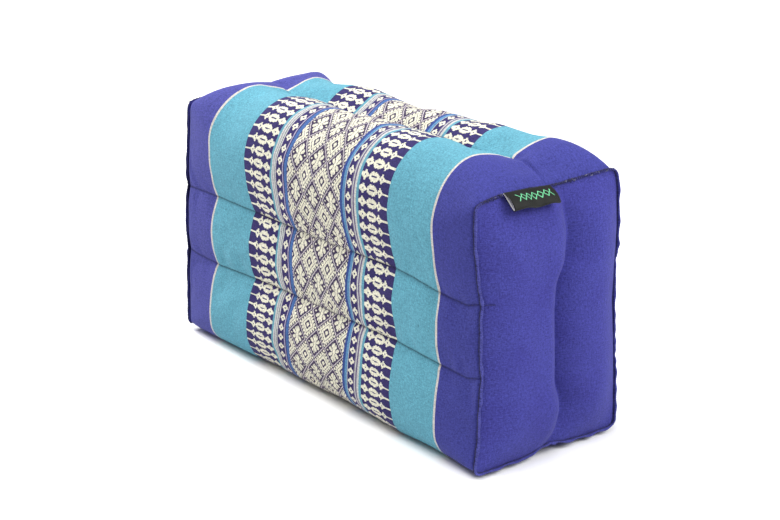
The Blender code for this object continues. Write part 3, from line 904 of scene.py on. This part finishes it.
def rimRings(y, z, side, seed):
    # the raised seam carried round the outline, a little thicker here and thinner there, as rings
    # of points, and the way out from the outline
    ahead = np.stack([np.roll(y, -1) - np.roll(y, 1), np.roll(z, -1) - np.roll(z, 1)], axis=1)
    away = unit(np.stack([0.0 * y, -ahead[:, 1], ahead[:, 0]], axis=1))
    away *= np.sign(np.sum(away[:, 1:] * np.stack([y, z - panel["middle"]], axis=1)))
    seam = np.stack([seamX(z), y, z], axis=1)
    run = np.concatenate([[0.0], np.cumsum(np.linalg.norm(np.diff(seam, axis=0), axis=1))])
    size = rim["size"] if side > 0 else rim["leftSize"]
    size = size * mix(1.0, rim["topSize"], np.clip(away[:, 2], 0.0, 1.0) ** 2)
    thick = size * (1.0 + rim["lumps"] * ripples(run, seed + 4, 0.005, 0.022))
    wander = rim["uneven"] * ripples(run, seed + 5, 0.01, 0.04)
    rings = []
    for out, lift in rim["profile"]:
        place = seam + away * (out * 0.001 * thick + wander * np.clip(lift / 2.9, 0.0, 1.0))[:, None]
        rings.append(place + np.array([1.0, 0.0, 0.0]) * (lift * 0.001 * thick)[:, None])
    return rings, away


def buildPanel(name, side, material):
    # two layers of cloth with the rim between their edges, built on the right and mirrored for the left
    y, z = (part[0] for part in fullSection([0.0], [side], panel["fineness"]))
    gridY, gridZ = patchGrid(y, z, panel["fineness"])
    columns, rows = gridY.shape
    border = gridBorder(columns, rows)
    seed = 100 if side > 0 else 200
    outer = panelSurface(gridY, gridZ, side, seed)
    inner = outer - np.array([panel["thickness"], 0.0, 0.0])
    rings, away = rimRings(y, z, side, seed)

    whole, count, flip = columns * rows, len(border), side < 0.0
    ring = [2 * whole + k * count + np.arange(count) for k in range(len(rings))]
    order = [border] + ring + [whole + border]
    quads = [gridQuads(columns, rows, 0, flip), gridQuads(columns, rows, whole, not flip)]
    quads += [ringQuads(a, b, flip) for a, b in zip(order[:-1], order[1:])]
    points = np.concatenate([outer, inner] + rings) * np.array([side, 1.0, 1.0])
    # painted shade at the rim's feet, where it meets the panel and the cover; along the top every line is
    # darkened
    dark = [np.maximum(share, np.clip(away[:, 2], 0.0, 1.0) ** 2) for share in rim["dark"]]
    edge = np.stack([np.append(np.zeros(2 * whole), np.ones(len(rings) * count)),
                     np.concatenate([np.zeros(2 * whole)] + dark)], axis=1)
    piece = makePiece(name, points, np.concatenate(quads), material, {"cloth": points[:, 1:3], "edge": edge})
    subdivide(piece)
    # the seam's foot on the panel's side, its crest and its foot on the cover's side, for the sewing
    points, _ = finished(piece)
    return piece, points[ring[0]], points[ring[3]], points[ring[7]], away


# the label

label = {
    "centreY": -0.0208, "width": 0.0405,
    "from": (0.1664, 0.1950), "climb": -0.068,  # where it leaves the seam, and how that sinks to the back
    "reach": 0.0112, "drop": 0.0078,  # how far it stands out and hangs down
    # its thickness, half the gap at its root, how much wider that gets and where along the tape, its bow
    "tape": 0.0006, "root": 0.0004, "gap": 0.0022, "gapPower": 1.4, "gapEnd": 0.86, "bow": 0.0007,
    "uneven": 0.0005,
    "across": 40, "down": 14,
    "dark": srgb(13, 15, 13), "light": srgb(29, 30, 26), "inside": srgb(200, 198, 205),
    # the woven row of open lozenges, in mm: its middle across and down, half a lozenge, how steep its
    # sides are, where they run and how wide, half the row's height and length
    "row": (1.0, 7.0), "half": 2.5, "steep": 0.72, "ring": (2.1, 0.40), "rowHigh": 3.2, "rowLong": 15.2,
    "rowColour": srgb(105, 190, 140), "ribs": 0.45,
}


def labelMaterial():
    # ribbed tape with a row of open lozenges along the middle of its outer face, paler inside
    material, shader, start = startMaterial("tabTape", 0.6, sheen=0.02, specular=0.2)
    metresAcross, metresDown, _ = start.node("ShaderNodeUVMap", {"uv_map": "tape"}).split()
    across, down = metresAcross * 1000.0, metresDown * 1000.0
    fromMiddle, fromRow = abs(across - label["row"][0]), abs(down - label["row"][1])
    slope = fromMiddle.fold(label["half"]) + fromRow * label["steep"]
    line, wide = label["ring"]
    row = (abs(slope - line) < wide) * (fromRow < label["rowHigh"]) * (fromMiddle < label["rowLong"])
    ribs = start.maths("SINE", across * (2.0 * math.pi / label["ribs"])) * 0.5 + 0.5
    grain = slubs(start, across * 1.2, down * 6.0, 2.0)
    tape = (ribs * 0.6 + grain).blend(label["dark"], label["light"])
    tape = (down > 50.0).blend(tape, label["inside"])
    wire(shader, row.blend(tape, label["rowColour"]), ribs * 0.00005 + row * 0.00012, 0.7)
    return material


def tapeSection():
    # the folded tape's section: distances along its slanting line and off it, round the outside and
    # back round the inside; its two layers part in the middle and join in a half circle at the fold
    long = math.hypot(label["reach"], label["drop"])
    t, half = np.linspace(0.0, 1.0, label["down"] + 1), label["tape"] / 2.0
    apart = label["root"] + label["gap"] / 2.0 * np.sin(math.pi * t ** label["gapPower"] * label["gapEnd"])
    turn = np.linspace(0.0, math.pi, 7)[1:-1]
    runs, offs = [], []
    for grow, order in ((half, 1), (-half, -1)):
        radius = apart[-1] + grow
        runs.append(np.concatenate([t * long, long + radius * np.sin(turn), (t * long)[::-1]])[::order])
        offs.append(np.concatenate([apart + grow, radius * np.cos(turn), -(apart + grow)[::-1]])[::order])
    return long, np.concatenate(runs), np.concatenate(offs)


def buildLabel(material):
    # the section carried along Y: x = start + along * level + off * slope, z = start - along * slope
    # + off * level, with a bow along it, a little unevenness and the seam's own climb
    low = label["centreY"] - label["width"] / 2.0
    y = np.linspace(low, low + label["width"], label["across"] + 1)
    long, runs, offs = tapeSection()
    offs = offs + label["bow"] * np.sin(math.pi * runs / long)
    slope, level = label["drop"] / long, label["reach"] / long
    x = label["from"][0] + runs * level + offs * slope
    z = label["from"][1] - runs * slope + offs * level
    count, middle = len(x), len(x) // 2
    uneven = label["uneven"] * ripples(y, 61, 0.015, 0.03)[:, None] * np.clip(runs / long, 0.0, 1.0)
    points = np.stack([x + uneven, np.broadcast_to(y[:, None], uneven.shape),
                       z + uneven + label["climb"] * (y - low)[:, None]], axis=-1)
    index = np.arange(points[..., 0].size).reshape(uneven.shape)
    quads = [ringQuads(index[k], index[k + 1]) for k in range(len(y) - 1)]
    for k, flip in ((0, True), (len(y) - 1, False)):
        outside, inside = index[k, :middle], index[k, ::-1][:middle]
        cut = np.stack([outside[:-1], outside[1:], inside[1:], inside[:-1]], axis=-1)
        quads.append(cut[:, ::-1] if flip else cut)
    down = np.concatenate([np.arange(middle) * long / label["down"], np.full(count - middle, 0.060)])
    tape = np.stack([np.broadcast_to((y - label["centreY"])[:, None], uneven.shape),
                     np.broadcast_to(down, uneven.shape)], axis=-1)
    return makePiece("sideLabel", points, np.concatenate(quads), material, {"tape": tape.reshape(-1, 2)})


# sewing

# one stitch of each kind: length, radius and bow, and how far it is to the next, all in metres
stitchKinds = {
    "groove": (0.0027, 0.00020, 0.0002, 0.0034), "running": (0.0029, 0.00032, 0.0001, 0.0030),
    "overlock": (0.0020, 0.00014, 0.0007, 0.0017), "short": (0.0024, 0.00026, 0.0001, 0.0022),
    "loose": (0.0015, 0.00027, 0.0006, None),
}


def stitchMesh(name, centres, alongs, outs, kind, material, sides=5, rings=5):
    # many short threads at once, each a small tube along its own direction: bow = (1 - (2t) squared)
    # * lift, and its radius closes towards the ends
    length, radius, lift, _ = stitchKinds[kind]
    t = np.linspace(-0.5, 0.5, rings)
    arch = (1.0 - (2.0 * t) ** 2) * lift
    spine = (centres[:, None] + alongs[:, None] * (t * length)[None, :, None]
             + outs[:, None] * arch[None, :, None])
    across = unit(np.cross(alongs, outs))
    angle = np.arange(sides) * 2.0 * math.pi / sides
    waist = radius * np.sqrt(np.clip(1.0 - (2.0 * t) ** 4 * 0.85, 0.05, 1.0))
    tube = (spine[:, :, None] + waist[None, :, None, None]
            * (outs[:, None, None] * np.cos(angle)[None, None, :, None]
               + across[:, None, None] * np.sin(angle)[None, None, :, None]))
    count, each = len(centres), rings * sides + 2
    points = np.concatenate([tube.reshape(count, -1, 3), spine[:, [0, -1]]], axis=1)
    index = np.arange(rings * sides).reshape(rings, sides)
    body = np.concatenate([ringQuads(index[k], index[k + 1], True) for k in range(rings - 1)])
    low = np.stack([index[0], np.roll(index[0], -1), np.full(sides, each - 2)], axis=-1)
    high = np.stack([np.roll(index[-1], -1), index[-1], np.full(sides, each - 1)], axis=-1)
    faces, offsets = [], np.arange(count) * each
    for block in (body, low, high):
        faces += (block[None] + offsets[:, None, None]).reshape(-1, block.shape[1]).tolist()
    mesh = bpy.data.meshes.new(name)
    mesh.from_pydata(points.reshape(-1, 3).tolist(), [], faces)
    mesh.update()
    return addPiece(mesh, material)


def alongPath(path, vectors, pitch):
    # places at an even pitch on a path of points, with the path's direction and a second vector there
    run = np.concatenate([[0.0], np.cumsum(np.linalg.norm(np.diff(path, axis=0), axis=1))])
    places = np.arange(pitch, run[-1] - pitch, pitch)
    centre = np.stack([np.interp(places, run, path[:, k]) for k in range(3)], axis=1)
    ahead = np.stack([np.interp(places + 0.001, run, path[:, k]) for k in range(3)], axis=1)
    out = np.stack([np.interp(places, run, vectors[:, k]) for k in range(3)], axis=1)
    return centre, unit(ahead - centre), unit(out)


def sewGrooves():
    # stitches sunk in the six grooves of the cover
    found = []
    for number, g in enumerate(grooveIndices(form["fineness"])):
        sewn = slice(12, -12) if number == 3 else slice(None)
        path = (coverBody - 0.0002 * coverNormals)[sewn, g]
        found.append(alongPath(path, coverNormals[sewn, g], stitchKinds["groove"][3]))
    lines = [np.concatenate(parts) for parts in zip(*found)]
    return stitchMesh("grooveStitches", *lines, "groove", darkThread)


def sewSeam(name, side):
    # along a raised seam: a dark running line on each side of its foot, and loops over its edge
    _, foot, crest, outerFoot, away = panels[name]
    outward = np.array([side, 0.0, 0.0])
    loop, pitch = np.append(np.arange(len(foot)), 0), stitchKinds["running"][3]
    centre, direction, out = alongPath(foot[loop], -away[loop] + 0.3 * outward, pitch)
    out = unit(out - direction * np.sum(out * direction, axis=1, keepdims=True))
    besides = alongPath(outerFoot[loop] + 0.0002 * away[loop], away[loop], pitch)
    lines = [np.concatenate(pair) for pair in zip((centre, direction, out), besides)]
    running = stitchMesh(name + "Running", *lines, "running", darkThread)
    centre, direction, out = alongPath(crest[loop], away[loop], stitchKinds["overlock"][3])
    over = unit(out + direction * 0.35)
    standing = unit(np.cross(over, direction))
    standing *= np.sign(standing @ outward)[:, None]
    centre = centre - outward * 0.0006
    return [running, stitchMesh(name + "Overlock", centre, over, standing, "overlock", seamThread)]


# loose ends of thread along the top of the right seam, beside the label, and a short line of stitches
# that starts at the seam where the upper groove meets it
loose = {
    "seed": 12, "spans": ((-0.0590, -0.0420, 28), (0.0010, 0.0230, 32), (0.0230, 0.0560, 8)),
    "long": (0.8, 2.2),  # in lengths of one stitch
    "line": (-0.0592, -0.0518, 0.1230),  # from and to across, and its height
}


def looseEnds():
    # centre = a place on the seam's crest + a random step; direction = random, mostly along the seam
    rng = np.random.default_rng(loose["seed"])
    _, _, crest, _, _ = panels["endPanelRight"]
    top = crest[crest[:, 2] > form["seamTop"] - 0.004]
    top = top[np.argsort(top[:, 1])]
    y = np.concatenate([rng.uniform(low, high, count) for low, high, count in loose["spans"]])
    centre = np.stack([np.interp(y, top[:, 1], top[:, k]) for k in range(3)], axis=1)
    centre += rng.normal(0.0, 1.0, centre.shape) * (0.0004, 0.0004, 0.0003) + (0.0, 0.0, 0.0005)
    direction = rng.normal(0.0, 1.0, centre.shape) * (0.5, 0.9, 0.45)
    direction = unit(direction) * rng.uniform(*loose["long"], len(y))[:, None]
    out = unit(np.cross(direction, rng.normal(0.0, 1.0, centre.shape)))
    dark = rng.random(len(y)) < 0.8
    return [stitchMesh(name, centre[which], direction[which], out[which], "loose", material)
            for name, which, material in (("looseDark", dark, darkThread), ("looseGrey", ~dark, greyThread))]


def shortLine():
    # y runs evenly from the seam, x = the panel's own surface there
    low, high, height = loose["line"]
    y = np.linspace(low, high, 20)
    z = height + 0.0 * y
    path = np.stack([seamX(z) + panelSwell(y, z, 1.0) + 0.0002, y, z], axis=1)
    lines = alongPath(path, np.tile([1.0, 0.0, 0.0], (20, 1)), stitchKinds["short"][3])
    return stitchMesh("shortLine", *lines, "short", darkThread)


coverCloth, endCloth = coverMaterial(), plainMaterial()
darkThread = threadMaterial("darkThread", srgb(22, 22, 48), srgb(48, 46, 84))
seamThread = threadMaterial("seamThread", srgb(48, 48, 112), srgb(80, 82, 148))
greyThread = threadMaterial("greyThread", srgb(72, 74, 98), srgb(116, 116, 136))
print("materials made")

coverPiece, coverBody, coverNormals = buildCover(coverCloth)
print("cover built", len(coverPiece.data.vertices), "points")
panelSides = (("endPanelRight", 1.0), ("endPanelLeft", -1.0))
panels = {name: buildPanel(name, side, endCloth) for name, side in panelSides}
print("end panels built")
labelPiece = buildLabel(labelMaterial())
print("label built")

grooveStitches = sewGrooves()
seamPieces = [sewSeam(name, side) for name, side in panelSides]
seamPieces[0] += looseEnds() + [shortLine()]
print("stitches sewn")

# joining the frame

sewing = [stitches for pair in seamPieces for stitches in pair]
for piece in [coverPiece, labelPiece, grooveStitches] + sewing + [panels[name][0] for name in panels]:
    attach(piece, "root")
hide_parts("cushion")
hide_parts("end_panel_right")
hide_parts("end_panel_left")
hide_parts("label")


# floor and light

studio = {
    "floorHalf": 6.0, "floor": (0.93, 0.93, 0.93, 1.0), "floorRoughness": 0.9,
    "sky": 0.28, "aim": 0.1,  # the lamps' common middle lies this high
    # soft round lamps: degrees round the block, degrees up, distance, size, watts
    "leftLamp": (-75.0, 40.0, 1.7, 1.2, 35.0), "rightLamp": (120.0, 38.0, 2.4, 1.7, 60.0),
    "topLamp": (20.0, 75.0, 2.4, 1.7, 34.0),
}


def addFloor():
    # a wide flat sheet at height 0
    places = np.linspace(-studio["floorHalf"], studio["floorHalf"], 3)
    x, y = np.meshgrid(places, places, indexing="ij")
    material, shader, _ = startMaterial("paleFloor", studio["floorRoughness"], specular=0.1)
    shader.inputs["Base Color"].default_value = studio["floor"]
    floor = makePiece("floor", np.stack([x, y, 0.0 * x], axis=-1), gridQuads(3, 3), material)


def addLamp(name):
    # place = aim + direction * distance, with the direction taken from two angles
    azimuth, elevation, reach, size, energy = studio[name]
    turn, lift = math.radians(azimuth), math.radians(elevation)
    data = bpy.data.lights.new(name, "AREA")
    data.shape, data.size, data.energy = "DISK", size, energy
    lamp = bpy.data.objects.new(name, data)
    lamp.location = (reach * math.sin(turn) * math.cos(lift), -reach * math.cos(turn) * math.cos(lift),
                     reach * math.sin(lift) + studio["aim"])
    lamp.rotation_euler = (math.pi / 2.0 - lift, 0.0, turn)
    scene.collection.objects.link(lamp)


addFloor()
for lampName in ("leftLamp", "rightLamp", "topLamp"):
    addLamp(lampName)
world = bpy.data.worlds.new("studio")
world.use_nodes = True
sky = world.node_tree.nodes["Background"].inputs
sky["Color"].default_value, sky["Strength"].default_value = (1.0, 1.0, 1.0, 1.0), studio["sky"]
scene.world = world
scene.view_settings.view_transform = "Standard"
print("studio set")
